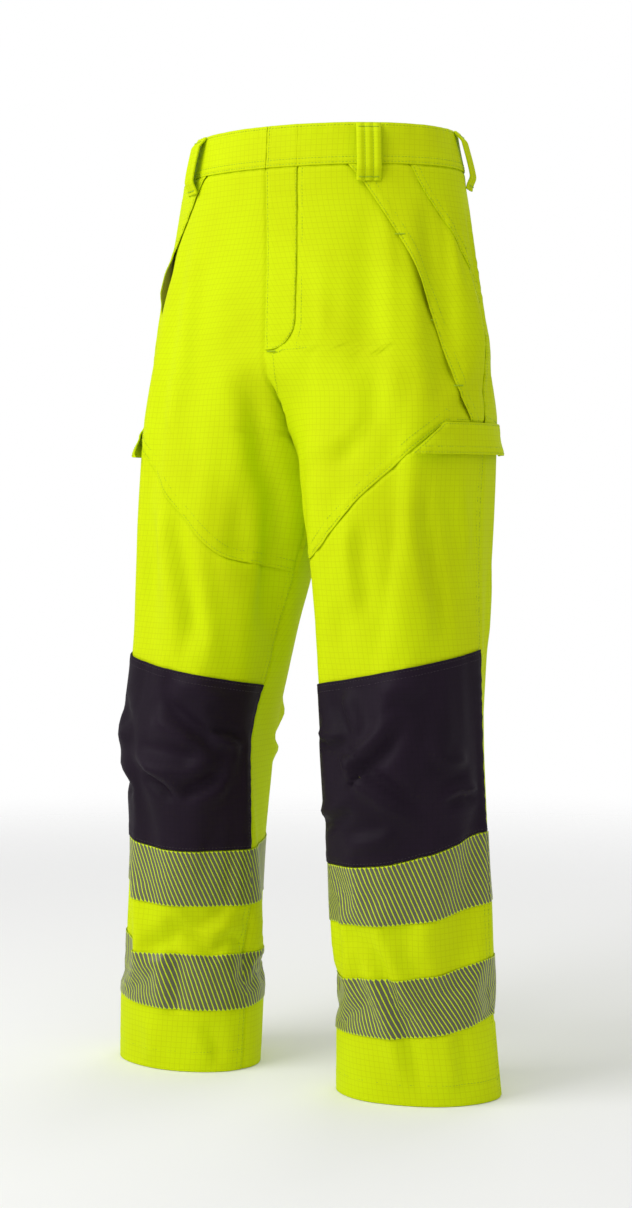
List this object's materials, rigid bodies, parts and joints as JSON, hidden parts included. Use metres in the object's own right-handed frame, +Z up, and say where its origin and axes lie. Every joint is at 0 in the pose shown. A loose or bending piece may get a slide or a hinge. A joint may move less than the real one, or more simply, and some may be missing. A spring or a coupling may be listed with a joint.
{
  "type": "high-visibility protective trousers",
  "caption": "High-visibility ripstop protective trousers with black knee patches, reflective leg bands, cargo flaps, zip fly and belt loops, standing in their worn shape.",
  "frame": {"origin": "middle of the waist opening, on the plane of the waistband's top edge", "axes": "+Z up from the hems to the waist, -Y out of the wearer's front, +X towards the wearer's left side"},
  "size_m": [0.4816, 0.2795, 1.04],
  "materials": {
    "hivis_ripstop": "bright yellow-green ripstop weave, double topstitched",
    "knee_fabric": "near-black hard-wearing woven fabric",
    "reflective_tape": "grey segmented retroreflective tape with yellow gaps",
    "lining": "plain woven olive lining",
    "hook_and_loop": "napped hook and loop tape",
    "zip_tape": "black woven zip tape",
    "fastener_metal": "worn nickel"
  },
  "bodies": {
    "garment": {"front_upper_left": "hivis_ripstop", "front_upper_right": "hivis_ripstop", "side_panel_left": "hivis_ripstop", "side_panel_right": "hivis_ripstop", "seat_left": "hivis_ripstop", "seat_right": "hivis_ripstop", "leg_front_left": "hivis_ripstop", "leg_front_right": "hivis_ripstop", "leg_back_left": "hivis_ripstop", "leg_back_right": "hivis_ripstop", "hem_facing_left": "hivis_ripstop", "hem_facing_right": "hivis_ripstop", "waistband_left": "hivis_ripstop", "waistband_right": "hivis_ripstop", "waistband_back": "hivis_ripstop", "waist_underlap": "hivis_ripstop", "fly_facing": "hivis_ripstop", "fly_shield": "hivis_ripstop", "belt_loop_front_left": "hivis_ripstop", "belt_loop_front_right": "hivis_ripstop", "belt_loop_side_left": "hivis_ripstop", "belt_loop_side_right": "hivis_ripstop", "belt_loop_rear_left": "hivis_ripstop", "belt_loop_rear_right": "hivis_ripstop", "belt_loop_centre": "hivis_ripstop", "tape_upper_front_left": "reflective_tape", "tape_upper_front_right": "reflective_tape", "tape_upper_back_left": "reflective_tape", "tape_upper_back_right": "reflective_tape", "tape_lower_front_left": "reflective_tape", "tape_lower_front_right": "reflective_tape", "tape_lower_back_left": "reflective_tape", "tape_lower_back_right": "reflective_tape", "knee_patch_left": "knee_fabric", "knee_patch_right": "knee_fabric", "knee_pad_pouch_left": "lining", "knee_pad_pouch_right": "lining", "hand_pocket_bag_left": "lining", "hand_pocket_bag_right": "lining", "cargo_pocket_bag_left": "lining", "cargo_pocket_bag_right": "lining", "flap_loop_strip_left": "hook_and_loop", "flap_loop_strip_right": "hook_and_loop", "zip_tape_left": "zip_tape", "zip_tape_right": "zip_tape", "zip_bottom_stop": "fastener_metal", "snap_stud": "fastener_metal"},
    "fly_opening": {"fly_cover": "hivis_ripstop", "waist_tab": "hivis_ripstop", "snap_socket": "fastener_metal"},
    "flap_left": {"cargo_flap_left": "hivis_ripstop", "flap_hook_strip_left": "hook_and_loop"},
    "flap_right": {"cargo_flap_right": "hivis_ripstop", "flap_hook_strip_right": "hook_and_loop"},
    "slider": {"zip_slider": "fastener_metal"},
    "pull": {"zip_pull": "fastener_metal"}
  },
  "joints": [
    {"name": "fly_fold", "type": "hinge", "parent": "garment", "child": "fly_opening", "pos_m": [0.0385, -0.1171, 0], "axis": [0, 0.0352, 0.9994], "range_deg": [0, 75]},
    {"name": "zip_slide", "type": "slide", "parent": "garment", "child": "slider", "axis": [0, 0, -1], "range_m": [0, 0.152]},
    {"name": "pull_swing", "type": "hinge", "parent": "slider", "child": "pull", "pos_m": [0.008, -0.112, -0.055], "axis": [-1, 0, 0], "range_deg": [0, 15]},
    {"name": "flap_fold_left", "type": "hinge", "parent": "garment", "child": "flap_left", "pos_m": [0.2155, -0.02, -0.323], "axis": [0, -1, 0], "range_deg": [0, 140]},
    {"name": "flap_fold_right", "type": "hinge", "parent": "garment", "child": "flap_right", "pos_m": [-0.2155, -0.02, -0.323], "axis": [0, 1, 0], "range_deg": [0, 140]}
  ]
}
